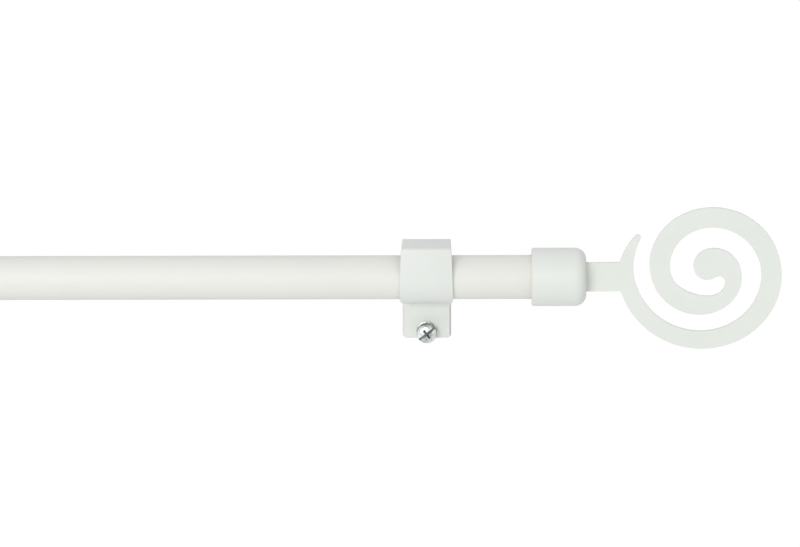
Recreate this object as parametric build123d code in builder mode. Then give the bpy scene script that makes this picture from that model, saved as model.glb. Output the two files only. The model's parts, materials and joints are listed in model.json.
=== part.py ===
from build123d import *
from math import cos, radians, sin
import os

# An extendable curtain rod, pushed together: two telescoping tubes, a spiral finial on each end and two wall
# brackets that clamp the tubes. The origin lies on the wall, midway between the right bracket's screw holes;
# +X runs along the rod to the right, +Y into the wall, +Z up.

# Where the rod hangs
rod_reach = 70.0  # wall to rod axis
rod_height = 27.0  # middle of the wall screw holes up to the rod axis

# Tubes
outer_tube_d = 19.0
outer_tube_wall = 1.2
inner_tube_wall = 1.0
slide_clearance = 0.3  # radial, between the two tubes
tube_edge = 0.3  # deburred edge of the tube ends
closed_length = 700.0  # from tube end to tube end, pushed together
bracket_inset = 60.0  # tube end to bracket
mouth_gap = 18.5  # left strap to the mouth of the outer tube, pushed together
inner_end_gap = 10.0  # hidden end of the inner tube to the end of the outer tube

# Finials: turned cap, plastic liner and spiral plate
cap_length = 23.6
cap_wall = 1.25
cap_end_wall = 2.0
cap_round = 5.0  # rounded outer end
cap_rim_round = 0.9
tube_seat = 14.8  # length of tube inside the cap
liner_wall = 1.6
liner_recess = 0.3  # liner sits back from the cap's rim
liner_clearance = 0.1
grip_clearance = 0.15  # radial, liner on tube
seat_gap = 0.3  # tube end to the liner's end wall
plate_t = 2.0
neck_w = 12.6
neck_round = 0.8  # inside corners between the neck and the coil
tang_depth = 8.0  # tang inside the cap
tang_clearance = 0.15

# Spiral of the plate: radii in millimetres, turns counted from the left of the first turn
spiral_reach = 51.8  # cap end to the middle of the spiral
spiral_lift = 2.65  # middle of the spiral above the rod axis
spiral_r = 38.5
spiral_height_ratio = 0.963  # the spiral is slightly lower than wide
coil_rate = 0.2805  # shrinking of the coil, share of its radius per turn
coil_tightening = 0.0857  # and per turn squared
band_w = 7.0  # band where the neck joins it
band_swell = 0.78  # widening of the band, share of its width per turn
band_slimming = 0.52  # and narrowing per turn squared
outer_run = 1.63  # turns of the outside edge before it eases into the eye
inner_run = 1.05  # turns of the inside edge before it eases into the gap's closed end
edge_points = 20  # points per turn along the band's edges
edge_end_step = 0.015  # closer point before the end of an edge, in turns
eye_r = 5.8  # round end in the middle
eye_degrees = 126.0  # direction of the eye from the gap's closed end
eye_ease_in = 7.5  # how far the outside edge keeps its direction
eye_ease_out = 6.5  # and the eye's
gap_end_x = 5.23  # closed end of the gap beside the eye, from the middle of the spiral
gap_end_z = -5.2
gap_end_r = 2.8
gap_side_degrees = -5.0  # where the inside edge meets the gap's closed end
gap_ease_in = 7.0  # how far the inside edge keeps its direction
gap_ease_out = 10.0  # and the gap's closed end
horn_start = 0.041  # where the free tip starts to bend, in turns
taper_start = 0.002  # where it starts to narrow, in turns
horn_turn = 0.081  # end of the free tip, in turns before the coil's start
horn_taper = 50.5  # narrowing of the tip, per turn
horn_bend = 55.0  # inward bend of the tip, per turn squared
tip_round = 1.0

# Bracket: folded strap, wall arm and clamp screw
strap_w = 23.2  # widest, low on the loop
shoulder_w = 22.4  # below the fold at the top
strap_top_w = 20.9
tab_w = 21.0
strap_t = 1.5
loop_clearance = 0.3  # radial, strap on the outer tube
loop_top = 14.8  # rod axis to the top of the loop
fold_r = 1.0  # inner radius of the folds
tab_gap = 0.8  # between the two clamp tabs
tab_drop = 28.4  # rod axis to the end of the clamp tabs
shoulder_rise = 12.3  # rod axis up to the shoulders
loop_flare = 8.5  # rod axis down to the loop's widest place
tab_start = 15.0  # rod axis down to where the tabs have their own width
corner_r = 1.5
arm_w = 18.0
arm_t = 2.0
arm_fold_r = 1.5
arm_drop = 14.0  # rod axis to the top of the arm
plate_drop = 39.5  # rod axis to the end of the wall plate
wall_hole_d = 4.5
wall_hole_spacing = 13.0
clamp_drop = 25.6  # rod axis to the clamp screw
clamp_hole_d = 4.4
screw_d = 4.0
screw_length = 12.0
screw_end_round = 0.5
head_d = 8.7
head_h = 5.0
head_round = 2.2
slot_w = 1.1
slot_depth = 1.5
cross_w = 1.0
cross_l = 4.6
cross_depth = 2.1
recess_degrees = -38.0  # how far the slot and cross are turned
washer_d = 9.2
washer_t = 1.0
nut_w = 7.0  # across flats
nut_h = 3.2
thread_clearance = 0.1

# Sizes that follow from those above
inner_tube_d = outer_tube_d - 2 * (outer_tube_wall + slide_clearance)
right_end = bracket_inset
left_end = right_end - closed_length
left_bracket_x = left_end + bracket_inset
left_lift = (outer_tube_d - inner_tube_d) / 2
mouth_x = left_bracket_x + strap_w / 2 + mouth_gap
loop_r = outer_tube_d / 2 + loop_clearance
liner_r = outer_tube_d / 2 + grip_clearance + liner_wall
cap_bore_r = liner_r + liner_clearance
cap_r = cap_bore_r + cap_wall
cap_end = cap_length - tube_seat
liner_end = cap_end - cap_end_wall - liner_clearance
inner_round = cap_round - cap_wall

os.makedirs("parts", exist_ok=True)


# Tubes


def tube(name, start_x, end_x, diameter, wall):
    """A drawn tube along the rod axis with deburred ends."""
    length = end_x - start_x
    with BuildPart() as pipe:
        with BuildSketch(Plane(origin=(start_x, -rod_reach, rod_height), z_dir=(1, 0, 0))):
            Circle(diameter / 2)
            Circle(diameter / 2 - wall, mode=Mode.SUBTRACT)
        extrude(amount=length)
        chamfer(pipe.edges().filter_by(GeomType.CIRCLE), min(tube_edge, wall / 3))
    pipe.part.label = name
    export_step(pipe.part, f"parts/{name}.step")


tube("outer_tube", mouth_x, right_end, outer_tube_d, outer_tube_wall)
tube("inner_tube", left_end, right_end - inner_end_gap, inner_tube_d, inner_tube_wall)


# Finials


def on_spiral(turn, radius):
    """A point of the spiral, seen from its middle; the first turn starts at the left and runs downwards."""
    angle = radians(180 + 360 * turn)
    return Vector(radius * cos(angle), spiral_height_ratio * radius * sin(angle))


def band_line(turn):
    """The coil that both edges of the band follow; its free tip bends inwards beyond the neck."""
    bend = horn_bend * max(0, horn_start - turn) ** 2
    return spiral_r * (1 - coil_rate * turn - coil_tightening * turn**2) - bend


def outer_radius(turn):
    """Outside edge of the band, which narrows along the free tip."""
    return band_line(turn) - horn_taper * max(0, taper_start - turn)


def inner_radius(turn):
    """Inside edge of the band, which swells in the first turn and slims again near the eye."""
    return band_line(turn) - band_w * (1 + band_swell * turn - band_slimming * turn**2)


def edge_turns(run):
    """Where an edge of the band gets its points: the tip, the coil, and one closer point before its end."""
    count = round(run * edge_points)
    return [-horn_turn] + [run * i / count for i in range(count)] + [run - edge_end_step, run]


def heading(edge):
    """The direction in which a line of points ends."""
    return (edge[-1] - edge[-2]).normalized()


def polar(middle, radius, degrees):
    """The point of a circle at an angle."""
    return middle + Vector(radius * cos(radians(degrees)), radius * sin(radians(degrees)))


def finial(side, face, tube_d):
    """The cap, liner and spiral of one end; the face's X axis points out of the tube end."""
    outward = Axis(face.origin, face.x_dir)
    slot_w_clear = plate_t + 2 * tang_clearance
    slot_l_clear = neck_w + 2 * tang_clearance
    slot_face = Plane(face.origin, x_dir=face.z_dir, z_dir=face.x_dir)

    with BuildPart() as cap:
        with BuildSketch(face):
            with BuildLine():
                FilletPolyline(
                    (-tube_seat, cap_bore_r),
                    (-tube_seat, cap_r),
                    (cap_end, cap_r),
                    (cap_end, 0),
                    (cap_end - cap_end_wall, 0),
                    (cap_end - cap_end_wall, cap_bore_r),
                    radius=[0, cap_rim_round, cap_round, 0, 0, inner_round],
                    close=True,
                )
            make_face()
        revolve(axis=outward)
        with BuildSketch(slot_face):
            Rectangle(slot_w_clear, slot_l_clear)
        extrude(amount=cap_length, mode=Mode.SUBTRACT)
    cap.part.label = f"{side}_cap"
    export_step(cap.part, f"parts/{side}_cap.step")

    bore_r = tube_d / 2 + grip_clearance
    with BuildPart() as liner:
        with BuildSketch(face):
            with BuildLine():
                FilletPolyline(
                    (liner_recess - tube_seat, bore_r),
                    (liner_recess - tube_seat, liner_r),
                    (liner_end, liner_r),
                    (liner_end, 0),
                    (seat_gap, 0),
                    (seat_gap, bore_r),
                    radius=[0, 0, inner_round, 0, 0, 0],
                    close=True,
                )
            make_face()
        revolve(axis=outward)
        with BuildSketch(slot_face):
            Rectangle(slot_w_clear, slot_l_clear)
        extrude(amount=cap_length, mode=Mode.SUBTRACT)
    liner.part.label = f"{side}_liner"
    export_step(liner.part, f"parts/{side}_liner.step")

    middle = Vector(cap_end + spiral_reach, spiral_lift)
    gap_end = middle + Vector(gap_end_x, gap_end_z)
    eye = polar(gap_end, eye_r + gap_end_r, eye_degrees)
    outer_edge = [middle + on_spiral(turn, outer_radius(turn)) for turn in edge_turns(outer_run)]
    inner_edge = [middle + on_spiral(turn, inner_radius(turn)) for turn in edge_turns(inner_run)]
    eye_side = polar(eye, eye_r, 180)
    gap_side = polar(gap_end, gap_end_r, gap_side_degrees)
    neck_start = cap_end - tang_depth
    neck_end = cap_end + spiral_reach - spiral_r + band_w / 2
    with BuildPart() as spiral:
        with BuildSketch(face) as outline:
            with BuildLine():
                Spline(*outer_edge)
                Bezier(
                    outer_edge[-1],
                    outer_edge[-1] + heading(outer_edge) * eye_ease_in,
                    eye_side + Vector(0, eye_ease_out),
                    eye_side,
                )
                ThreePointArc(
                    eye_side,
                    polar(eye, eye_r, eye_degrees / 2 + 180),
                    polar(eye, eye_r, eye_degrees + 180),
                )
                ThreePointArc(
                    polar(gap_end, gap_end_r, eye_degrees),
                    polar(gap_end, gap_end_r, (eye_degrees + gap_side_degrees) / 2),
                    gap_side,
                )
                Bezier(
                    gap_side,
                    polar(gap_side, gap_ease_out, gap_side_degrees - 90),
                    inner_edge[-1] + heading(inner_edge) * gap_ease_in,
                    inner_edge[-1],
                )
                Spline(*inner_edge)
                Line(inner_edge[0], outer_edge[0])
            make_face()
            fillet(outline.vertices().sort_by_distance(outer_edge[0])[:1], tip_round)
            fillet(outline.vertices().sort_by_distance(inner_edge[0])[:1], tip_round)
            with Locations(((neck_start + neck_end) / 2, 0)):
                Rectangle(neck_end - neck_start, neck_w)
            for way in (1, -1):
                corner = Vector(middle.X - spiral_r, way * neck_w / 2)
                fillet(outline.vertices().sort_by_distance(corner)[:1], neck_round)
        extrude(amount=plate_t / 2, both=True)
    spiral.part.label = f"{side}_spiral"
    export_step(spiral.part, f"parts/{side}_spiral.step")


right_face = Plane(origin=(right_end, -rod_reach, rod_height), x_dir=(1, 0, 0), z_dir=(0, -1, 0))
left_face = Plane(origin=(left_end, -rod_reach, rod_height), x_dir=(-1, 0, 0), z_dir=(0, 1, 0))
finial("right", right_face, outer_tube_d)
finial("left", left_face, inner_tube_d)


# Brackets


def bracket(side, middle_x, lift):
    """The strap, wall arm and clamp screw of one bracket, in a side view whose middle is the loop's."""
    middle = Vector(middle_x, -rod_reach, rod_height + lift)
    side_view = Plane(middle, x_dir=(0, 1, 0), z_dir=(1, 0, 0))
    strap_mid = loop_r + strap_t / 2
    tab_front = loop_r - tab_gap - strap_t
    strap_back = loop_r + strap_t
    strap_fold = fold_r + strap_t / 2
    clamp = middle - Vector(0, 0, clamp_drop)
    clamp_face = Plane(clamp, x_dir=(1, 0, 0), z_dir=(0, 1, 0))

    with BuildPart() as strap:
        with BuildSketch(side_view):
            with BuildLine() as strip:
                FilletPolyline(
                    (tab_front + strap_t / 2, -tab_drop),
                    (tab_front + strap_t / 2, -strap_mid),
                    (-strap_mid, -strap_mid),
                    (-strap_mid, loop_top - strap_t / 2),
                    (strap_mid, loop_top - strap_t / 2),
                    (strap_mid, -tab_drop),
                    radius=[strap_fold, strap_mid, strap_fold, strap_fold],
                )
            trace(line_width=strap_t)
        extrude(amount=strap_w / 2, both=True)
        with BuildSketch(Plane(middle, x_dir=(1, 0, 0), z_dir=(0, -1, 0))):
            Polygon(
                (-strap_top_w / 2, loop_top),
                (-shoulder_w / 2, shoulder_rise),
                (-strap_w / 2, -loop_flare),
                (-tab_w / 2, -tab_start),
                (-tab_w / 2, -tab_drop),
                (tab_w / 2, -tab_drop),
                (tab_w / 2, -tab_start),
                (strap_w / 2, -loop_flare),
                (shoulder_w / 2, shoulder_rise),
                (strap_top_w / 2, loop_top),
                align=None,
            )
        extrude(amount=2 * strap_back, both=True, mode=Mode.INTERSECT)
        tab_ends = strap.edges().filter_by(Axis.Y).group_by(Axis.Z)[0]
        fillet(tab_ends, corner_r)
        with BuildSketch(clamp_face):
            Circle(clamp_hole_d / 2)
        extrude(amount=strap_back + strap_t, mode=Mode.SUBTRACT)
    strap.part.label = f"{side}_strap"
    export_step(strap.part, f"parts/{side}_strap.step")

    plate_y = rod_reach - arm_t / 2
    arm_z = -arm_drop - arm_t / 2
    arm_fold = arm_fold_r + arm_t / 2
    with BuildPart() as arm:
        with BuildSketch(side_view):
            with BuildLine():
                FilletPolyline(
                    (strap_back + arm_t / 2, -tab_drop),
                    (strap_back + arm_t / 2, arm_z),
                    (plate_y, arm_z),
                    (plate_y, -plate_drop),
                    radius=[arm_fold, arm_fold],
                )
            trace(line_width=arm_t)
        extrude(amount=arm_w / 2, both=True)
        fillet(arm.edges().filter_by(Axis.Y).sort_by(Axis.Z)[:2], corner_r)
        fillet(arm.edges().filter_by(Axis.Y).group_by(Axis.Y)[0], corner_r)
        with BuildSketch(clamp_face):
            Circle(clamp_hole_d / 2)
        extrude(amount=strap_back + 2 * arm_t, mode=Mode.SUBTRACT)
        with BuildSketch(Plane((middle_x, 0, lift), x_dir=(1, 0, 0), z_dir=(0, -1, 0))):
            with GridLocations(0, wall_hole_spacing, 1, 2):
                Circle(wall_hole_d / 2)
        extrude(amount=2 * arm_t, mode=Mode.SUBTRACT)
    arm.part.label = f"{side}_wall_arm"
    export_step(arm.part, f"parts/{side}_wall_arm.step")

    washer_face = clamp_face.offset(tab_front - washer_t)
    with BuildPart() as washer:
        with BuildSketch(washer_face):
            Circle(washer_d / 2)
            Circle(clamp_hole_d / 2, mode=Mode.SUBTRACT)
        extrude(amount=washer_t)
    washer.part.label = f"{side}_clamp_washer"
    export_step(washer.part, f"parts/{side}_clamp_washer.step")

    head_face = washer_face.offset(-head_h)
    half_view = Plane(washer_face.origin, x_dir=(0, 1, 0), z_dir=(1, 0, 0))
    with BuildPart() as screw:
        with BuildSketch(half_view):
            with BuildLine():
                FilletPolyline(
                    (-head_h, 0),
                    (-head_h, head_d / 2),
                    (0, head_d / 2),
                    (0, screw_d / 2),
                    (screw_length, screw_d / 2),
                    (screw_length, 0),
                    radius=[0, head_round, 0, 0, screw_end_round, 0],
                    close=True,
                )
            make_face()
        revolve(axis=Axis(washer_face.origin, (0, 1, 0)))
        with BuildSketch(head_face):
            Rectangle(2 * head_d, slot_w, rotation=recess_degrees)
        extrude(amount=slot_depth, mode=Mode.SUBTRACT)
        with BuildSketch(head_face):
            Rectangle(cross_w, cross_l, rotation=recess_degrees)
            Rectangle(cross_l, cross_w, rotation=recess_degrees)
        extrude(amount=cross_depth, mode=Mode.SUBTRACT)
    screw.part.label = f"{side}_clamp_screw"
    export_step(screw.part, f"parts/{side}_clamp_screw.step")

    with BuildPart() as nut:
        with BuildSketch(clamp_face.offset(strap_back + arm_t)):
            RegularPolygon(nut_w / 2, 6, major_radius=False)
            Circle(screw_d / 2 + thread_clearance, mode=Mode.SUBTRACT)
        extrude(amount=nut_h)
    nut.part.label = f"{side}_clamp_nut"
    export_step(nut.part, f"parts/{side}_clamp_nut.step")


bracket("right", 0, 0)
bracket("left", left_bracket_x, left_lift)
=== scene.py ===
import json
from math import cos, pi, radians, sin

import bmesh
import bpy
from mathutils import Matrix, Vector


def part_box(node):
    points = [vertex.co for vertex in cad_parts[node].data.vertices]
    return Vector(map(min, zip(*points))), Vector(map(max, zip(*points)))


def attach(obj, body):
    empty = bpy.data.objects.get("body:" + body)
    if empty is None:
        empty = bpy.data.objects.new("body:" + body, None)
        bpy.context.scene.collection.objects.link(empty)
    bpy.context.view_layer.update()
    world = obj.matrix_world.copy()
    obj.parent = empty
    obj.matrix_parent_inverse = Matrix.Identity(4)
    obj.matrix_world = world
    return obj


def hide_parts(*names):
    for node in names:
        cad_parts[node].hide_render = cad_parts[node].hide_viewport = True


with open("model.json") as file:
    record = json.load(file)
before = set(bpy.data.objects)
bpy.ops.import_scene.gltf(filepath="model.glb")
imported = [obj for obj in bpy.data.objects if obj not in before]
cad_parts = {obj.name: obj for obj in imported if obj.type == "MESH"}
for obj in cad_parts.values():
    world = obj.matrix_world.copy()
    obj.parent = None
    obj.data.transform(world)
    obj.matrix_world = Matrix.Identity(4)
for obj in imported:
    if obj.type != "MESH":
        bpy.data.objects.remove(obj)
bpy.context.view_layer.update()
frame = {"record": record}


# The two tubes: drawn steel tube, the thinner one sliding in the thicker one. Both are cut to length,
# deburred and powder-coated white, so their ends are slightly rounded and the bore stays open.

node_body = {node: body for body, nodes in frame["record"]["behaviour"]["bodies"].items() for node in nodes}


def fit(piece, node):
    """Put a finished piece in the place of its solid, on the same body, and hide the solid."""
    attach(piece, node_body[node])
    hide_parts(node)


class Wire:
    """A socket of a node tree: sums on it add Math nodes, and node() adds any other node."""

    def __init__(self, tree, socket=None):
        self.tree = tree
        self.socket = socket

    def node(self, kind, settings=None, sockets=None, out=0):
        made = self.tree.nodes.new(kind)
        for name, value in (settings or {}).items():
            setattr(made, name, value)
        for name, value in (sockets or {}).items():
            for item in value if isinstance(value, list) else [value]:
                if isinstance(item, Wire):
                    self.tree.links.new(item.socket, made.inputs[name])
                else:
                    made.inputs[name].default_value = item
        return Wire(self.tree, made.outputs[out])

    def out(self, name):
        return Wire(self.tree, self.socket.node.outputs[name])

    def math(self, operation, *values):
        return self.node("ShaderNodeMath", {"operation": operation}, dict(enumerate(values)))

    def __add__(self, other):
        return self.math("ADD", self, other)

    def __sub__(self, other):
        return self.math("SUBTRACT", self, other)

    def __rsub__(self, other):
        return self.math("SUBTRACT", other, self)

    def __mul__(self, other):
        return self.math("MULTIPLY", self, other)

    def __truediv__(self, other):
        return self.math("DIVIDE", self, other)

    __radd__ = __add__
    __rmul__ = __mul__


def shader(name):
    """A new material, with a loose wire to add nodes from and its main shader."""
    material = bpy.data.materials.new(name)
    material.use_nodes = True
    return material, Wire(material.node_tree), material.node_tree.nodes["Principled BSDF"]


def join(wire, target):
    """Feed a wire into a shader's socket."""
    wire.tree.links.new(wire.socket, target)


def powder_coat(name, colour, roughness, speck_share):
    """Baked powder coat: a fine orange-peel skin, slightly uneven in tone, with a few dust specks."""
    material, start, coat = shader(name)
    place = start.node("ShaderNodeTexCoord", out="Object")
    cloud = start.node("ShaderNodeTexNoise", {}, {"Vector": place, "Scale": 38.0, "Detail": 3.0})
    skin = {"Vector": place, "Scale": 900.0, "Detail": 2.0, "Roughness": 0.4}
    peel = start.node("ShaderNodeTexNoise", {}, skin)
    cell = start.node("ShaderNodeTexVoronoi", {}, {"Vector": place, "Scale": 160.0}, "Distance")
    chance = start.node("ShaderNodeSeparateColor", {}, {"Color": cell.out("Color")})
    speck = start.math("MAXIMUM", 1.2 - cell * 9, 0) * start.math("LESS_THAN", chance, speck_share)
    pale = (*(min(1, shade * 1.02) for shade in colour), 1)
    deep = (*(shade * 0.972 for shade in colour), 1)
    # Here this tone is only the colour of the dust specks.
    dust_and_shade_tone = (*(shade * 0.72 for shade in colour), 1)
    toned = start.node("ShaderNodeMix", {"data_type": "RGBA"}, {0: cloud, 6: deep, 7: pale}, 2)
    dusty = start.node("ShaderNodeMix", {"data_type": "RGBA"}, {0: speck * 0.25, 6: toned, 7: dust_and_shade_tone}, 2)
    bump = start.node("ShaderNodeBump", {}, {"Strength": 0.16, "Distance": 0.00012, "Height": peel})
    join(dusty, coat.inputs["Base Color"])
    join(roughness - 0.06 + cloud * 0.12, coat.inputs["Roughness"])
    join(bump, coat.inputs["Normal"])
    return material


def polished(piece, degrees=32):
    """Shade a piece smooth, with crisp edges where its faces meet at more than the given angle."""
    piece.data.shade_smooth()
    piece.data.set_sharp_from_angle(angle=radians(degrees))
    return piece


def shown(name, mesh, material):
    """Link a plain mesh as a piece, with one material."""
    piece = bpy.data.objects.new(name, mesh)
    bpy.context.scene.collection.objects.link(piece)
    mesh.materials.clear()
    mesh.materials.append(material)
    return piece


def rounded(corners, steps=8):
    """The points of a line through (along, across, radius) corners, each rounded by its radius."""
    points = []
    last = len(corners) - 1
    for i, (along, across, radius) in enumerate(corners):
        here = Vector((along, across))
        if radius == 0 or i in (0, last):
            points.append(here)
            continue
        back = (Vector(corners[i - 1][:2]) - here).normalized()
        ahead = (Vector(corners[i + 1][:2]) - here).normalized()
        half = back.angle(ahead) / 2
        reach = radius / (sin(half) / cos(half))
        middle = here + (back + ahead).normalized() * (radius / sin(half))
        first = here + back * reach - middle
        sweep = first.angle_signed(here + ahead * reach - middle)
        points += [middle + Matrix.Rotation(-sweep * k / steps, 2) @ first for k in range(steps + 1)]
    return points


def turned(name, points, middle, outward, material, steps=112):
    """Turn a profile of (along, radius) points about the line that leaves `middle` along `outward`."""
    outward = Vector(outward)
    side = outward.orthogonal().normalized()
    across = outward.cross(side)
    closed = (points[0] - points[-1]).length < 1e-9
    profile = points[:-1] if closed else points
    form = bmesh.new()
    rings = []
    for along, radius in profile:
        count = steps if radius > 1e-7 else 1
        turns = [2 * pi * k / steps for k in range(count)]
        spokes = [side * cos(turn) + across * sin(turn) for turn in turns]
        rings.append([form.verts.new(middle + outward * along + spoke * radius) for spoke in spokes])
    pairs = list(zip(rings, rings[1:]))
    if closed:
        pairs.append((rings[-1], rings[0]))
    for first, second in pairs:
        for k in range(steps):
            loop = [first[k % len(first)], first[(k + 1) % len(first)]]
            loop += [second[(k + 1) % len(second)], second[k % len(second)]]
            unique = list(dict.fromkeys(loop))
            if len(unique) > 2:
                form.faces.new(unique)
    bmesh.ops.recalc_face_normals(form, faces=form.faces)
    mesh = bpy.data.meshes.new(name)
    form.to_mesh(mesh)
    form.free()
    return polished(shown(name, mesh, material))


tube_white = powder_coat("tube powder coat", (0.84, 0.86, 0.775), 0.50, 0.03)
tube_end_round = 0.0003
outer_tube_wall = 0.0012
inner_tube_wall = 0.0010


def drawn_tube(name, node, wall):
    """A tube with an open bore and rounded ends, as long and thick as its solid."""
    low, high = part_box(node)
    axis = Vector((low.x, (low.y + high.y) / 2, (low.z + high.z) / 2))
    length = high.x - low.x
    radius = (high.z - low.z) / 2
    bore = radius - wall
    corners = [
        (length / 2, bore, 0),
        (0, bore, tube_end_round),
        (0, radius, tube_end_round),
        (length / 2, radius, 0),
        (length, radius, tube_end_round),
        (length, bore, tube_end_round),
        (length / 2, bore, 0),
    ]
    piece = turned(name, rounded(corners, 4), axis, (1, 0, 0), tube_white, 128)
    fit(piece, node)


drawn_tube("coated_outer_tube", "outer_tube", outer_tube_wall)
drawn_tube("coated_inner_tube", "inner_tube", inner_tube_wall)


# The end caps: turned and powder-coated metal cups with a rounded end, pushed over the tube ends on a
# plastic liner. A slot milled in the flat end takes the plate of the spiral.

finial_white = powder_coat("finial powder coat", (0.81, 0.855, 0.775), 0.44, 0.012)
cap_wall = 0.00125
cap_end_wall = 0.0020
cap_round = 0.0050
cap_rim_round = 0.0009
cap_bore_edge = 0.0002
slot_width = 0.0023
slot_height = 0.0129


def block(middle, size):
    """A plain box as a cutter."""
    mesh = bpy.data.meshes.new("cutter")
    form = bmesh.new()
    bmesh.ops.create_cube(form, matrix=Matrix.Translation(middle) @ Matrix.Diagonal((*size, 1)))
    form.to_mesh(mesh)
    form.free()
    return bpy.data.objects.new("cutter", mesh)


def carve(piece, cutters, operation="DIFFERENCE"):
    """Cut shapes out of a piece, or keep only what lies in them, and leave it a plain mesh."""
    for cutter in cutters:
        bpy.context.scene.collection.objects.link(cutter)
        cut = piece.modifiers.new("cut", "BOOLEAN")
        cut.operation = operation
        cut.solver = "EXACT"
        cut.object = cutter
    mesh = bpy.data.meshes.new_from_object(piece.evaluated_get(bpy.context.evaluated_depsgraph_get()))
    piece.modifiers.clear()
    bare = piece.data
    piece.data = mesh
    bpy.data.meshes.remove(bare)
    for cutter in cutters:
        bpy.data.meshes.remove(cutter.data)
    mesh.name = piece.name
    return polished(piece)


def end_of(node, outward):
    """The outer end of a piece on the rod's axis, and the piece's length and radius."""
    low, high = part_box(node)
    tip = high.x if outward > 0 else low.x
    end = Vector((tip, (low.y + high.y) / 2, (low.z + high.z) / 2))
    return end, high.x - low.x, (high.z - low.z) / 2


def end_cap(name, node, outward):
    """A cup whose closed end points outward, with the slot of the plate."""
    tip, length, radius = end_of(node, outward)
    bore = radius - cap_wall
    corners = [
        (-cap_end_wall, 0, 0),
        (-cap_end_wall, bore, cap_round - cap_wall),
        (-length, bore, cap_bore_edge),
        (-length, radius, cap_rim_round),
        (0, radius, cap_round),
        (0, 0, 0),
    ]
    piece = turned(name, rounded(corners, 14), tip, (outward, 0, 0), finial_white)
    carve(piece, [block(tip, (3 * cap_end_wall, slot_width, slot_height))])
    fit(piece, node)


end_cap("coated_right_cap", "right_cap", 1)
end_cap("coated_left_cap", "left_cap", -1)


# The liners: injection-moulded off-white plastic sleeves inside the caps. They grip the tube ends, and the
# same slot in their closed end holds the tang of the spiral plate.

plastic, start, shell = shader("moulded liner plastic")
place = start.node("ShaderNodeTexCoord", out="Object")
flow = start.node("ShaderNodeTexNoise", {}, {"Vector": place, "Scale": 120.0, "Detail": 2.0})
grain = start.node("ShaderNodeTexNoise", {}, {"Vector": place, "Scale": 2600.0, "Detail": 1.0})
tone = start.node(
    "ShaderNodeMix",
    {"data_type": "RGBA"},
    {0: flow, 6: (0.74, 0.74, 0.71, 1), 7: (0.79, 0.79, 0.76, 1)},
    2,
)
skin = start.node("ShaderNodeBump", {}, {"Strength": 0.2, "Distance": 0.00005, "Height": grain})
join(tone, shell.inputs["Base Color"])
join(0.46 + flow * 0.1, shell.inputs["Roughness"])
join(skin, shell.inputs["Normal"])
liner_end_wall = 0.0064
liner_end_round = cap_round - cap_wall
liner_edge = 0.0003
right_liner_bore = 0.00965
left_liner_bore = 0.00815


def liner(name, node, outward, bore):
    """A sleeve with a thick closed end and a slot through it."""
    tip, length, radius = end_of(node, outward)
    corners = [
        (-liner_end_wall, 0, 0),
        (-liner_end_wall, bore, liner_edge),
        (-length, bore, liner_edge),
        (-length, radius, liner_edge),
        (0, radius, liner_end_round),
        (0, 0, 0),
    ]
    piece = turned(name, rounded(corners), tip, (outward, 0, 0), plastic)
    carve(piece, [block(tip, (3 * liner_end_wall, slot_width, slot_height))])
    fit(piece, node)


liner("moulded_right_liner", "right_liner", 1, right_liner_bore)
liner("moulded_left_liner", "left_liner", -1, left_liner_bore)


# The spirals: laser-cut from 2 mm steel plate in one piece with the neck and tang, then powder-coated. The
# band coils inwards from a free tip above the neck to a round eye, and its edges follow one formula.

spiral_size = {
    "Spiral Radius": 0.0385,
    "Height Ratio": 0.963,
    "Coil Rate": 0.2805,
    "Coil Tightening": 0.0857,
    "Band Width": 0.0070,
    "Band Swell": 0.78,
    "Band Slimming": 0.52,
    "Bend Start": 0.041,
    "Tip Bend": 0.055,
    "Taper Start": 0.002,
    "Tip Taper": 0.0505,
    "Tip Round": 0.0010,
    "Neck Round": 0.0008,
}
spiral_reach = 0.0518
spiral_lift = 0.00265
plate_thickness = 0.0020
broken_edge = 0.00028
neck_width = 0.0126
tang_depth = 0.0080
tip_turn = -0.081
outer_end_turn = 1.63
inner_end_turn = 1.05
gap_middle = Vector((0.00523, -0.0052, 0))
gap_radius = 0.0028
gap_side_direction = -5
gap_reaches = (0.0070, 0.0100)
eye_radius = 0.0058
eye_direction = 126
eye_side_direction = 180
eye_reaches = (0.0075, 0.0065)


def pick(operation, plain, *values):
    """Work a sum out on numbers, or add its Math node where a wire takes part."""
    wires = [value for value in values if isinstance(value, Wire)]
    return wires[0].math(operation, *values) if wires else plain(*values)


def band_line(size, turn):
    """The coil that both edges of the band follow; its free tip bends inwards beyond the neck."""
    before = pick("MAXIMUM", max, size["Bend Start"] - turn, 0.0)
    coil = size["Spiral Radius"] * (1 - size["Coil Rate"] * turn - size["Coil Tightening"] * turn * turn)
    return coil - size["Tip Bend"] * before * before


def outer_radius(size, turn):
    """Outside edge of the band, which narrows along the free tip."""
    return band_line(size, turn) - size["Tip Taper"] * pick("MAXIMUM", max, size["Taper Start"] - turn, 0.0)


def inner_radius(size, turn):
    """Inside edge of the band, which swells in the first turn and slims again near the eye."""
    share = 1 + size["Band Swell"] * turn - size["Band Slimming"] * turn * turn
    return band_line(size, turn) - size["Band Width"] * share


def on_coil(size, turn, radius):
    """The place on the coil after a number of turns, counted from the left and running downwards."""
    angle = (turn + 0.5) * (2 * pi)
    return (
        radius * pick("COSINE", cos, angle),
        size["Height Ratio"] * radius * pick("SINE", sin, angle),
    )


def edge_point(edge, turn):
    """A point on an edge of the band, as numbers."""
    return Vector((*on_coil(spiral_size, turn, edge(spiral_size, turn)), 0))


def heading(edge, turn):
    """The direction in which an edge runs at a turn."""
    return (edge_point(edge, turn + 1e-4) - edge_point(edge, turn)).normalized()


def turn_at(edge, height, low, high):
    """The turn between two others at which an edge that runs downwards passes a height."""
    for _ in range(40):
        middle = (low + high) / 2
        if edge_point(edge, middle).y > height:
            low = middle
        else:
            high = middle
    return low


def around(middle, radius, degrees):
    """A point on a circle in the plate."""
    return middle + Vector((cos(radians(degrees)), sin(radians(degrees)), 0)) * radius


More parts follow.
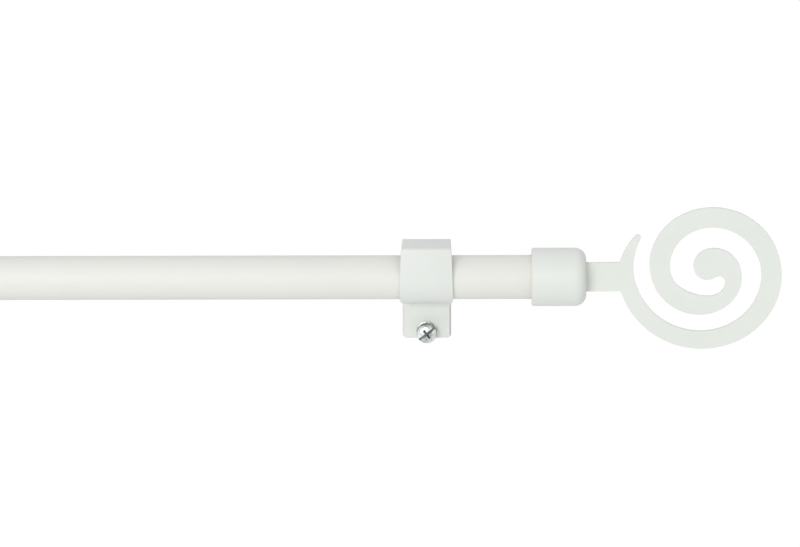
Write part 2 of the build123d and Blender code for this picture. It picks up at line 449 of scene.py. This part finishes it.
def geometry_tree(name, inputs):
    """An empty node tree for a modifier, and the wires of its named inputs."""
    tree = bpy.data.node_groups.new(name, "GeometryNodeTree")
    tree.interface.new_socket("Geometry", in_out="INPUT", socket_type="NodeSocketGeometry")
    for label, kind in inputs.items():
        tree.interface.new_socket(label, in_out="INPUT", socket_type=kind)
    tree.interface.new_socket("Geometry", in_out="OUTPUT", socket_type="NodeSocketGeometry")
    start = Wire(tree).node("NodeGroupInput")
    return tree, start, {label: start.out(label) for label in inputs}


def close_tree(shape, coat):
    """End a tree: real geometry, one material, and the tree's output."""
    solid = shape.node("GeometryNodeRealizeInstances", {}, {"Geometry": shape})
    coated = shape.node("GeometryNodeSetMaterial", {}, {"Geometry": solid, "Material": coat})
    end = shape.tree.nodes.new("NodeGroupOutput")
    shape.tree.links.new(coated.socket, end.inputs["Geometry"])


def grown(name, seed, tree, sizes, coat, finish=()):
    """Run a tree on a seed mesh, then finishing modifiers, and keep the result as a plain mesh piece."""
    source = bpy.data.objects.new(name, seed)
    bpy.context.scene.collection.objects.link(source)
    shape = source.modifiers.new("shape", "NODES")
    shape.node_group = tree
    values = {**sizes, "Coat": coat}
    for item in tree.interface.items_tree:
        if item.in_out == "INPUT" and item.name in values:
            shape[item.identifier] = values[item.name]
    for kind, settings in finish:
        extra = source.modifiers.new(kind, kind)
        for key, value in settings.items():
            setattr(extra, key, value)
    mesh = bpy.data.meshes.new_from_object(source.evaluated_get(bpy.context.evaluated_depsgraph_get()))
    bpy.data.objects.remove(source)
    return shown(name, mesh, coat)


spiral_inputs = {label: "NodeSocketFloat" for label in spiral_size}
spiral_tree, start, size = geometry_tree("spiral plate", {**spiral_inputs, "Coat": "NodeSocketMaterial"})


def edge_curve(edge, first, last, count):
    """One edge of the band between two turns: a line whose points are moved by the edge's formula."""
    straight = start.node("GeometryNodeCurvePrimitiveLine", {"mode": "POINTS"}, {"End": (0.01, 0, 0)})
    fine = start.node("GeometryNodeResampleCurve", {}, {"Curve": straight, "Count": count})
    share = start.node("GeometryNodeSplineParameter", out="Factor")
    turn = first + share * (last - first)
    along, up = on_coil(size, turn, edge(size, turn))
    spot = start.node("ShaderNodeCombineXYZ", {}, {"X": along, "Y": up})
    return start.node("GeometryNodeSetPosition", {}, {"Geometry": fine, "Position": spot})


def straight_run(first, last):
    """A straight edge of the neck."""
    return start.node("GeometryNodeCurvePrimitiveLine", {"mode": "POINTS"}, {"Start": first, "End": last})


def arc(middle, radius, first, last, count):
    """Part of a circle, between two directions in degrees."""
    bow = start.node(
        "GeometryNodeCurveArc",
        {"mode": "RADIUS"},
        {
            "Resolution": count,
            "Radius": radius,
            "Start Angle": radians(first),
            "Sweep Angle": radians(last - first),
        },
    )
    return start.node("GeometryNodeTransform", {}, {"Geometry": bow, "Translation": middle})


def easy_bend(first, first_heading, first_reach, last, last_heading, last_reach):
    """A smooth run from one edge into the next; each keeps its direction for its reach."""
    return start.node(
        "GeometryNodeCurvePrimitiveBezierSegment",
        {"mode": "POSITION"},
        {
            "Resolution": 28,
            "Start": first,
            "Start Handle": first + first_heading * first_reach,
            "End Handle": last - last_heading * last_reach,
            "End": last,
        },
    )


eye_middle = around(gap_middle, eye_radius + gap_radius, eye_direction)
neck_top = neck_width / 2 - spiral_lift
neck_bottom = -neck_width / 2 - spiral_lift
neck_turns = (-0.06, 0.1)
top_turn = turn_at(outer_radius, neck_top, *neck_turns)
bottom_turn = turn_at(outer_radius, neck_bottom, *neck_turns)
tang_end = -spiral_reach - tang_depth
outline = start.node(
    "GeometryNodeJoinGeometry",
    {},
    {
        "Geometry": [
            edge_curve(outer_radius, tip_turn, top_turn, 7),
            straight_run(edge_point(outer_radius, top_turn), Vector((tang_end, neck_top, 0))),
            straight_run(Vector((tang_end, neck_top, 0)), Vector((tang_end, neck_bottom, 0))),
            straight_run(Vector((tang_end, neck_bottom, 0)), edge_point(outer_radius, bottom_turn)),
            edge_curve(outer_radius, bottom_turn, outer_end_turn, 230),
            easy_bend(
                edge_point(outer_radius, outer_end_turn),
                heading(outer_radius, outer_end_turn),
                eye_reaches[0],
                around(eye_middle, eye_radius, eye_side_direction),
                around(Vector(), 1, eye_side_direction + 90),
                eye_reaches[1],
            ),
            arc(eye_middle, eye_radius, eye_side_direction, eye_direction + 180, 30),
            arc(gap_middle, gap_radius, gap_side_direction, eye_direction, 24),
            easy_bend(
                edge_point(inner_radius, inner_end_turn),
                heading(inner_radius, inner_end_turn),
                gap_reaches[0],
                around(gap_middle, gap_radius, gap_side_direction),
                around(Vector(), 1, gap_side_direction + 90),
                gap_reaches[1],
            ),
            edge_curve(inner_radius, tip_turn, inner_end_turn, 120),
            straight_run(edge_point(inner_radius, tip_turn), edge_point(outer_radius, tip_turn)),
        ]
    },
)
wires = start.node("GeometryNodeCurveToMesh", {}, {"Curve": outline})
merge_distance = 0.000004
joined = start.node("GeometryNodeMergeByDistance", {}, {"Geometry": wires, "Distance": merge_distance})
loop = start.node("GeometryNodeMeshToCurve", {}, {"Mesh": joined})


def near(places):
    """Where the outline passes one of some places."""
    spot = start.node("GeometryNodeInputPosition")
    measure = {"operation": "DISTANCE"}
    gaps = [start.node("ShaderNodeVectorMath", measure, {0: spot, 1: place}, "Value") for place in places]
    return start.math("LESS_THAN", start.math("MINIMUM", *gaps), 2.5 * merge_distance)


at_tip = near([edge_point(outer_radius, tip_turn), edge_point(inner_radius, tip_turn)])
at_neck = near([edge_point(outer_radius, top_turn), edge_point(outer_radius, bottom_turn)])
eased = start.node(
    "GeometryNodeFilletCurve",
    {"mode": "POLY"},
    {"Curve": loop, "Radius": at_tip * size["Tip Round"] + at_neck * size["Neck Round"], "Count": 7},
)
sheet = start.node("GeometryNodeFillCurve", {}, {"Curve": eased})
upright = start.node("GeometryNodeTransform", {}, {"Geometry": sheet, "Rotation": (pi / 2, 0, 0)})
close_tree(upright, size["Coat"])


def spiral_plate(name, node, outward):
    """A spiral cut from plate, with broken edges; the left one is the right one turned round."""
    cut = {"thickness": plate_thickness, "offset": 0}
    deburr = {"width": broken_edge, "segments": 2, "limit_method": "ANGLE", "angle_limit": radians(50)}
    finish = [("SOLIDIFY", cut), ("BEVEL", deburr)]
    plate = grown(name, bpy.data.meshes.new("seed"), spiral_tree, spiral_size, finial_white, finish)
    low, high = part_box(node)
    tang = Vector((low.x if outward > 0 else high.x, (low.y + high.y) / 2, 0))
    cap_low, cap_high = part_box(node.replace("spiral", "cap"))
    tang.z = (cap_low.z + cap_high.z) / 2 + spiral_lift
    half_turn = Matrix.Rotation(0 if outward > 0 else pi, 4, "Z")
    plate.data.transform(Matrix.Translation(tang) @ half_turn @ Matrix.Translation((-tang_end, 0, 0)))
    for face in plate.data.polygons:
        face.use_smooth = abs(face.normal.y) < 0.999
    fit(plate, node)


spiral_plate("coated_right_spiral", "right_spiral", 1)
spiral_plate("coated_left_spiral", "left_spiral", -1)


# The straps: a 23 mm strip of 1.5 mm steel, folded into a loop with a flat top that goes round the tube. It
# ends in two tabs that the clamp screw pulls together. Punched before folding, then powder-coated.

bracket_white = powder_coat("bracket powder coat", (0.80, 0.84, 0.775), 0.44, 0.012)
length_input = "NodeSocketFloat"
strip_levels = ("Top", "Shoulder", "Flare", "Tab")
strip_tree, start, size = geometry_tree(
    "folded strip",
    {
        "Thickness": length_input,
        "Edge Round": length_input,
        "Corner Round": length_input,
        "Back Start": length_input,
        "Back Width": length_input,
        **{f"{level} Height": length_input for level in strip_levels},
        **{f"{level} Width": length_input for level in strip_levels},
        "Coat": "NodeSocketMaterial",
    },
)
path = start.node("GeometryNodeMeshToCurve", {}, {"Mesh": start.out("Geometry")})
number = {"data_type": "FLOAT"}
fold = start.node("GeometryNodeInputNamedAttribute", number, {"Name": "fold"}, "Attribute")
bent = start.node("GeometryNodeFilletCurve", {"mode": "POLY"}, {"Curve": path, "Radius": fold, "Count": 16})
along = start.node("GeometryNodeSplineParameter", out="Length")
whole = start.node("GeometryNodeSplineLength", out="Length")
marked = start.node(
    "GeometryNodeStoreNamedAttribute",
    {"data_type": "FLOAT", "domain": "POINT"},
    {"Geometry": bent, "Name": "to end", "Value": start.math("MINIMUM", along, whole - along)},
)
section = start.node(
    "GeometryNodeCurvePrimitiveQuadrilateral",
    {"mode": "RECTANGLE"},
    {"Width": size["Flare Width"], "Height": size["Thickness"]},
)
soft_section = start.node(
    "GeometryNodeFilletCurve",
    {"mode": "POLY"},
    {"Curve": section, "Radius": size["Edge Round"], "Count": 3},
)
sweep = {"Curve": marked, "Profile Curve": soft_section, "Fill Caps": True}
swept = start.node("GeometryNodeCurveToMesh", {}, sweep)
to_end = start.node("GeometryNodeInputNamedAttribute", number, {"Name": "to end"}, "Attribute")


def bow(radius, past):
    """How far a rounded corner of some radius still reaches, that far past its start."""
    return start.math("SQRT", start.math("MAXIMUM", radius * radius - past * past, 0.0))


chord = bow(size["Corner Round"], start.math("MAXIMUM", size["Corner Round"] - to_end, 0.0))
spot = start.node("GeometryNodeInputPosition")
sideways = start.node("ShaderNodeSeparateXYZ", {}, {"Vector": spot}, "X")
width = size["Top Width"]
for upper, lower in zip(strip_levels, strip_levels[1:]):
    width = width + start.node(
        "ShaderNodeMapRange",
        {},
        {
            0: sideways.out("Z"),
            1: size[f"{upper} Height"],
            2: size[f"{lower} Height"],
            3: 0.0,
            4: size[f"{lower} Width"] - size[f"{upper} Width"],
        },
    )
behind = start.math("GREATER_THAN", sideways.out("Y"), size["Back Start"])
width = width + behind * (size["Back Width"] - width)
taper = sideways * (width / size["Flare Width"] - 1)
rounding = start.math("SIGN", sideways) * (chord - size["Corner Round"])
inset = start.node("ShaderNodeCombineXYZ", {}, {"X": taper + rounding})
trimmed = start.node("GeometryNodeSetPosition", {}, {"Geometry": swept, "Offset": inset})
cleared = start.node("GeometryNodeRemoveAttribute", {}, {"Geometry": trimmed, "Name": "to end"})
close_tree(cleared, size["Coat"])

strip_edge = 0.0004
corner_steps = 8
strap_punch = 0.02
arm_punch = 0.01


def fold_line(corners, corner_round):
    """A strip's centre line as a mesh: (y, z, fold radius) corners, and closer points near both ends."""
    spots = [Vector((0, y, z)) for y, z, radius in corners]
    steps = [corner_round * (1 - cos(k * pi / 2 / corner_steps)) for k in range(corner_steps + 1)]
    ahead = (spots[1] - spots[0]).normalized()
    back = (spots[-2] - spots[-1]).normalized()
    first = [spots[0] + ahead * step for step in steps]
    last = [spots[-1] + back * step for step in reversed(steps)]
    spots = first + spots[1:-1] + last
    unfolded = [0.0] * len(steps)
    folds = unfolded + [radius for y, z, radius in corners[1:-1]] + unfolded
    line = bpy.data.meshes.new("fold line")
    line.from_pydata(spots, [(i, i + 1) for i in range(len(spots) - 1)], [])
    line.attributes.new("fold", "FLOAT", "POINT").data.foreach_set("value", folds)
    return line


def pin(middle, radius, length, sides=48):
    """A cylinder along the screw's direction as a cutter, its middle at a point."""
    mesh = bpy.data.meshes.new("cutter")
    form = bmesh.new()
    bmesh.ops.create_cone(
        form,
        cap_ends=True,
        segments=sides,
        radius1=radius,
        radius2=radius,
        depth=length,
        matrix=Matrix.Translation(middle) @ Matrix.Rotation(pi / 2, 4, "X"),
    )
    form.to_mesh(mesh)
    form.free()
    return bpy.data.objects.new("cutter", mesh)


strap_widths = {
    "Top Width": 0.0209,
    "Shoulder Width": 0.0224,
    "Flare Width": 0.0232,
    "Tab Width": 0.0199,
}
back_width = 0.0210
strap_thickness = 0.0015
strap_corner = 0.0010
loop_bore = 0.0098
loop_top = 0.0148
fold_radius = 0.0001
tab_gap = 0.0008
tab_drop = 0.0284
shoulder_rise = 0.0123
loop_flare = 0.0085
tab_start = 0.0150
clamp_drop = 0.0256
clamp_hole = 0.0022
strip_heights = {
    "Back Start": loop_bore - tab_gap / 2,
    "Top Height": loop_top,
    "Shoulder Height": shoulder_rise,
    "Flare Height": -loop_flare,
    "Tab Height": -tab_start,
}


def loop_middle(side):
    """The middle of a bracket's loop."""
    low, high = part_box(f"{side}_strap")
    return Vector(((low.x + high.x) / 2, (low.y + high.y) / 2, high.z - loop_top))


def strap(side):
    """One strap: front tab, the loop round the tube, its flat top, and the back tab."""
    middle = loop_middle(side)
    reach = loop_bore + strap_thickness / 2
    front_tab = loop_bore - tab_gap - strap_thickness / 2
    fold = fold_radius + strap_thickness / 2
    corners = [
        (front_tab, -tab_drop, 0),
        (front_tab, -tab_start, 0),
        (front_tab, -reach, fold),
        (-reach, -reach, reach),
        (-reach, loop_top - strap_thickness / 2, fold),
        (reach, loop_top - strap_thickness / 2, fold),
        (reach, -loop_flare, 0),
        (reach, -tab_start, 0),
        (reach, -tab_drop, 0),
    ]
    sizes = {
        "Thickness": strap_thickness,
        "Edge Round": strip_edge,
        "Corner Round": strap_corner,
        "Back Width": back_width,
        **strip_heights,
        **strap_widths,
    }
    line = fold_line(corners, strap_corner)
    piece = grown(f"folded_{side}_strap", line, strip_tree, sizes, bracket_white)
    piece.data.transform(Matrix.Translation(middle))
    carve(piece, [pin(middle + Vector((0, loop_bore, -clamp_drop)), clamp_hole, strap_punch)])
    fit(piece, f"{side}_strap")


for side in ("right", "left"):
    strap(side)


# The wall arms: an 18 mm strip of 2 mm steel, folded into a tab behind the strap, an arm to the wall and a
# wall plate with two screw holes. Punched, folded and powder-coated with the strap.

arm_width = 0.0180
arm_thickness = 0.0020
arm_corner = 0.0015
arm_fold = 0.0025
arm_top = 0.0140
plate_drop = 0.0395
rod_height = 0.0270
wall_hole = 0.00225
wall_hole_spacing = 0.0130


def wall_arm(side):
    """One arm, from its clamp tab to the wall plate."""
    middle = loop_middle(side)
    low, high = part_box(f"{side}_wall_arm")
    tab = low.y + arm_thickness / 2 - middle.y
    wall = high.y - arm_thickness / 2 - middle.y
    level = -arm_top - arm_thickness / 2
    corners = [
        (tab, -tab_drop, 0),
        (tab, level, arm_fold),
        (wall, level, arm_fold),
        (wall, -plate_drop, 0),
    ]
    sizes = {
        "Thickness": arm_thickness,
        "Edge Round": strip_edge,
        "Corner Round": arm_corner,
        "Back Width": arm_width,
        **strip_heights,
        **{f"{place} Width": arm_width for place in strip_levels},
    }
    line = fold_line(corners, arm_corner)
    piece = grown(f"folded_{side}_wall_arm", line, strip_tree, sizes, bracket_white)
    piece.data.transform(Matrix.Translation(middle))
    plate_middle = Vector((middle.x, high.y, middle.z - rod_height))
    punches = [pin(middle + Vector((0, tab, -clamp_drop)), clamp_hole, arm_punch)]
    for way in (-1, 1):
        hole = plate_middle + Vector((0, 0, wall_hole_spacing / 2 * way))
        punches.append(pin(hole, wall_hole, arm_punch))
    carve(piece, punches)
    fit(piece, f"{side}_wall_arm")


for side in ("right", "left"):
    wall_arm(side)


# The clamp screws: M4 pan-head machine screws of zinc-plated steel, headed cold with a combined slot and
# cross recess and rolled with a 0.7 mm thread.

zinc, start, plating = shader("bright zinc plating")
place = start.node("ShaderNodeTexCoord", out="Object")
bloom = start.node("ShaderNodeTexNoise", {}, {"Vector": place, "Scale": 420.0, "Detail": 3.0})
handling = {"Vector": place, "Scale": 1700.0, "Detail": 4.0, "Roughness": 0.7}
rub = start.node("ShaderNodeTexNoise", {}, handling)
patch = start.node("ShaderNodeMapRange", {}, {0: bloom, 1: 0.38, 2: 0.62})
tone = start.node(
    "ShaderNodeMix",
    {"data_type": "RGBA"},
    {0: patch, 6: (0.38, 0.41, 0.41, 1), 7: (0.86, 0.90, 0.89, 1)},
    2,
)
# Painted shade: a stored value mixes the zinc towards near black in the head's recess and on its flank.
painted_shade = start.node("ShaderNodeAttribute", {"attribute_name": "painted_shade"}, {}, "Fac")
dust_and_shade_tone = (0.07, 0.07, 0.07, 1)
painted_shade_tone = start.node("ShaderNodeMix", {"data_type": "RGBA"}, {0: painted_shade, 6: tone, 7: dust_and_shade_tone}, 2)
dents = start.node("ShaderNodeBump", {}, {"Strength": 0.25, "Distance": 0.00006, "Height": rub})
join(painted_shade_tone, plating.inputs["Base Color"])
join(0.2 + bloom * 0.16, plating.inputs["Roughness"])
join(dents, plating.inputs["Normal"])
plating.inputs["Metallic"].default_value = 1.0

head_height = 0.0050
head_round = 0.0022
head_foot = 0.00025
shank_radius = 0.0020
shank_end_round = 0.0005
recess_angle = -38
slot_size = (0.0110, 0.0011, 0.0015)
cross_size = (0.0046, 0.0010, 0.0021)
thread_runout = 0.0012
flank_band = 0.0002
# Strength of the painted shade on the head's flank (outer edge, foot) and in its recess.
flank_painted_shade = (0.85, 0.3)
recess_painted_shade = 0.9
recess_shade_depth = 0.0012
rings_per_pitch = 10
thread_size = {
    "Pitch": 0.0007,
    "Depth": 0.00032,
    "Thread Start": head_height + thread_runout,
    "Shank Radius": shank_radius,
    "Head Radius": 0.00435,
    "Head Height": head_height,
    "Head Round": head_round,
}
thread_tree, start, size = geometry_tree(
    "rolled thread", {**{label: length_input for label in thread_size}, "Coat": "NodeSocketMaterial"}
)
spot = start.node("GeometryNodeInputPosition")
parts = start.node("ShaderNodeSeparateXYZ", {}, {"Vector": spot}, "X")
across, along, up = parts, parts.out("Y"), parts.out("Z")
reach = start.math("SQRT", across * across + up * up)
climb = along / size["Pitch"] - start.math("ARCTAN2", up, across) / (2 * pi)
groove = start.math("ABSOLUTE", start.math("FRACT", climb) * 2 - 1)
on_thread = start.math("GREATER_THAN", along, size["Thread Start"])
on_shank = start.math("GREATER_THAN", reach, size["Shank Radius"] * 0.7)
sink = groove * size["Depth"] * on_thread * on_shank / start.math("MAXIMUM", reach, 0.0001)
dip = start.node("ShaderNodeCombineXYZ", {}, {"X": 0 - across * sink, "Z": 0 - up * sink})
rolled = start.node("GeometryNodeSetPosition", {}, {"Geometry": start.out("Geometry"), "Offset": dip})
# Painted shade: points deep in the recess and on the head's flank store a value that darkens the zinc,
# strongest at the flank's outer edge and weaker towards the head's foot.
past_flat = start.math("MAXIMUM", reach - size["Head Radius"] + size["Head Round"], 0.0)
below_dome = start.math("MAXIMUM", along - size["Head Round"] + bow(size["Head Round"], past_flat), 0.0)
in_head = start.math("LESS_THAN", along, size["Head Height"] * 0.6)
on_flank = start.math("GREATER_THAN", reach, size["Head Radius"] - flank_band)
outer_flank_shade, foot_flank_shade = flank_painted_shade
flank_run = {0: along, 1: size["Head Round"], 2: size["Head Height"], 3: outer_flank_shade, 4: foot_flank_shade}
flank_shade = start.node("ShaderNodeMapRange", {}, flank_run)
in_recess = in_head * (1 - on_flank) * start.math("MINIMUM", below_dome / recess_shade_depth, 1.0)
marked = start.node(
    "GeometryNodeStoreNamedAttribute",
    {"data_type": "FLOAT", "domain": "POINT"},
    {
        "Geometry": rolled,
        "Name": "painted_shade",
        "Value": start.math("MAXIMUM", in_recess * recess_painted_shade, on_flank * flank_shade),
    },
)
close_tree(marked, size["Coat"])


def recess(size, degrees):
    """A bar-shaped cutter in the top of the head, turned about the screw."""
    length, width, depth = size
    bar = block((0, 0, 0), (length, 2 * depth, width))
    bar.data.transform(Matrix.Rotation(radians(degrees), 4, "Y"))
    return bar


def clamp_screw(side):
    """One screw, made at the origin with its head's top at zero, then put in its place."""
    node = f"{side}_clamp_screw"
    low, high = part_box(node)
    length = high.y - low.y
    head_radius = (high.z - low.z) / 2
    head = [
        (0, 0, 0),
        (0, head_radius, head_round),
        (head_height, head_radius, head_foot),
        (head_height, shank_radius, 0),
    ]
    rings = int((length - head_height) / (thread_size["Pitch"] / rings_per_pitch))
    straight = length - shank_end_round - head_height
    shank = [Vector((head_height + straight * k / rings, shank_radius)) for k in range(rings)]
    end = [
        (length - 2 * shank_end_round, shank_radius, 0),
        (length, shank_radius, shank_end_round),
        (length, 0, 0),
    ]
    profile = rounded(head, 10)[:-1] + shank + rounded(end, 5)[1:]
    blank = turned(f"zinc_{side}_screw_blank", profile, Vector(), (0, 1, 0), zinc, 64)
    slot = recess(slot_size, recess_angle)
    cross = [recess(cross_size, recess_angle + turn) for turn in (0, 90)]
    carve(blank, [slot] + cross)
    piece = grown(f"zinc_{side}_clamp_screw", blank.data.copy(), thread_tree, thread_size, zinc)
    bpy.data.objects.remove(blank)
    piece.data.transform(Matrix.Translation(((low.x + high.x) / 2, low.y, (low.z + high.z) / 2)))
    polished(piece, 40)
    fit(piece, node)


for side in ("right", "left"):
    clamp_screw(side)


# The washers and nuts: stamped plain washers under the heads, and hexagon nuts with turned chamfers behind
# the arms' tabs, both zinc-plated steel.

stamped_edge = 0.00015
nut_bore = 0.0021
nut_chamfer = 0.00055
chamfer_slope = 1.6
turning_allowance = 0.00001


def clamp_middle(node):
    """The front of a small round piece on the screw's line, with its thickness and half its height."""
    low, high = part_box(node)
    front = Vector(((low.x + high.x) / 2, low.y, (low.z + high.z) / 2))
    return front, high.y - low.y, (high.z - low.z) / 2


def washer(side):
    """A flat ring with slightly rolled edges."""
    node = f"{side}_clamp_washer"
    middle, thickness, radius = clamp_middle(node)
    corners = [
        (thickness / 2, clamp_hole, 0),
        (0, clamp_hole, stamped_edge),
        (0, radius, stamped_edge),
        (thickness, radius, stamped_edge),
        (thickness, clamp_hole, stamped_edge),
        (thickness / 2, clamp_hole, 0),
    ]
    fit(turned(f"zinc_{side}_washer", rounded(corners, 4), middle, (0, 1, 0), zinc, 72), node)


def nut(side):
    """A hexagon, its corners turned off at both faces, with a plain bore."""
    node = f"{side}_clamp_nut"
    middle, thickness, half_width = clamp_middle(node)
    corner = half_width / cos(pi / 6)
    rim = corner - nut_chamfer * chamfer_slope
    envelope = [
        Vector((0, nut_bore)),
        Vector((0, rim)),
        Vector((nut_chamfer, corner + turning_allowance)),
        Vector((thickness - nut_chamfer, corner + turning_allowance)),
        Vector((thickness, rim)),
        Vector((thickness, nut_bore)),
        Vector((0, nut_bore)),
    ]
    piece = turned(f"zinc_{side}_nut", envelope, middle, (0, 1, 0), zinc, 100)
    hexagon = pin(Vector(), corner, 4 * thickness, 6)
    hexagon.data.transform(Matrix.Translation(middle) @ Matrix.Rotation(pi / 2, 4, "Y"))
    carve(piece, [hexagon], "INTERSECT")
    fit(piece, node)


for side in ("right", "left"):
    washer(side)
    nut(side)


# Camera, soft light and floor. The camera stands where the photograph's stood, a little above the rod.

eye = bpy.data.objects.new("camera", bpy.data.cameras.new("camera"))
bpy.context.scene.collection.objects.link(eye)
bpy.context.scene.camera = eye
eye.data.lens = 234.93
eye.data.sensor_width = 36
camera_place = (0.0232, -2.2735, 0.4822)
left_turn, down_tilt, roll = radians(0.9), radians(11.63), radians(-0.31)
look = Matrix.Rotation(left_turn, 4, "Z") @ Matrix.Rotation(pi / 2 - down_tilt, 4, "X")
eye.matrix_world = Matrix.Translation(camera_place) @ look @ Matrix.Rotation(roll, 4, "Z")


def soft_box(name, place, aim, width, height, power):
    """A rectangular soft light that faces a point."""
    lamp = bpy.data.lights.new(name, "AREA")
    lamp.shape = "RECTANGLE"
    lamp.size = width
    lamp.size_y = height
    lamp.energy = power
    stand = bpy.data.objects.new(name, lamp)
    bpy.context.scene.collection.objects.link(stand)
    facing = (Vector(aim) - Vector(place)).to_track_quat("-Z", "Y").to_matrix().to_4x4()
    stand.matrix_world = Matrix.Translation(place) @ facing


key_place = (-0.60, -1.92, 0.48)
rod_end = (0.03, -0.07, 0.027)
soft_box("key light", key_place, rod_end, 0.90, 0.60, 13.0)


def seen_ray(start):
    """One where a ray shows the surroundings: straight, mirrored or through glass."""
    ray = start.node("ShaderNodeLightPath", out="Is Camera Ray")
    return start.math("MINIMUM", ray + ray.out("Is Glossy Ray") + ray.out("Is Transmission Ray"), 1.0)


world = bpy.data.worlds.new("studio")
bpy.context.scene.world = world
world.use_nodes = True
start = Wire(world.node_tree)
backdrop = world.node_tree.nodes["Background"]
seen = seen_ray(start)
toward = start.node("ShaderNodeTexCoord", out="Generated")
upward = start.node("ShaderNodeSeparateXYZ", {}, {"Vector": toward}, "Z")
front_glow = start.math("MAXIMUM", 0 - upward.out("Y"), 0.0)
back_glow = start.math("MAXIMUM", upward.out("Y"), 0.0)
soft_room = 0.19 + upward * upward * 0.70 + front_glow * 0.40 + back_glow * 0.25
cool = (1 - seen) * upward * upward
white, sky = (1, 1, 1, 1), (0.97, 0.92, 1.06, 1)
tint = start.node("ShaderNodeMix", {"data_type": "RGBA"}, {0: cool, 6: white, 7: sky}, 2)
join(tint, backdrop.inputs["Color"])
join(soft_room + seen * (1 - soft_room), backdrop.inputs["Strength"])

floor_level = -0.26
floor_reach = 6
floor_mesh = bpy.data.meshes.new("floor")
form = bmesh.new()
ground = Matrix.Translation((0, 0, floor_level))
bmesh.ops.create_grid(form, x_segments=1, y_segments=1, size=floor_reach, matrix=ground)
form.to_mesh(floor_mesh)
form.free()
floor_white, start, paint = shader("floor")
paint.inputs["Base Color"].default_value = (0.9, 0.9, 0.9, 1)
paint.inputs["Roughness"].default_value = 0.9
glow = start.node("ShaderNodeEmission", {}, {"Color": (1, 1, 1, 1), "Strength": 1.06})
painted = Wire(start.tree, paint.outputs[0])
blend = start.node("ShaderNodeMixShader", {}, {0: seen_ray(start) * 0.9, 1: painted, 2: glow})
join(blend, floor_white.node_tree.nodes["Material Output"].inputs["Surface"])
floor = shown("floor", floor_mesh, floor_white)

bpy.context.scene.view_settings.view_transform = "Standard"
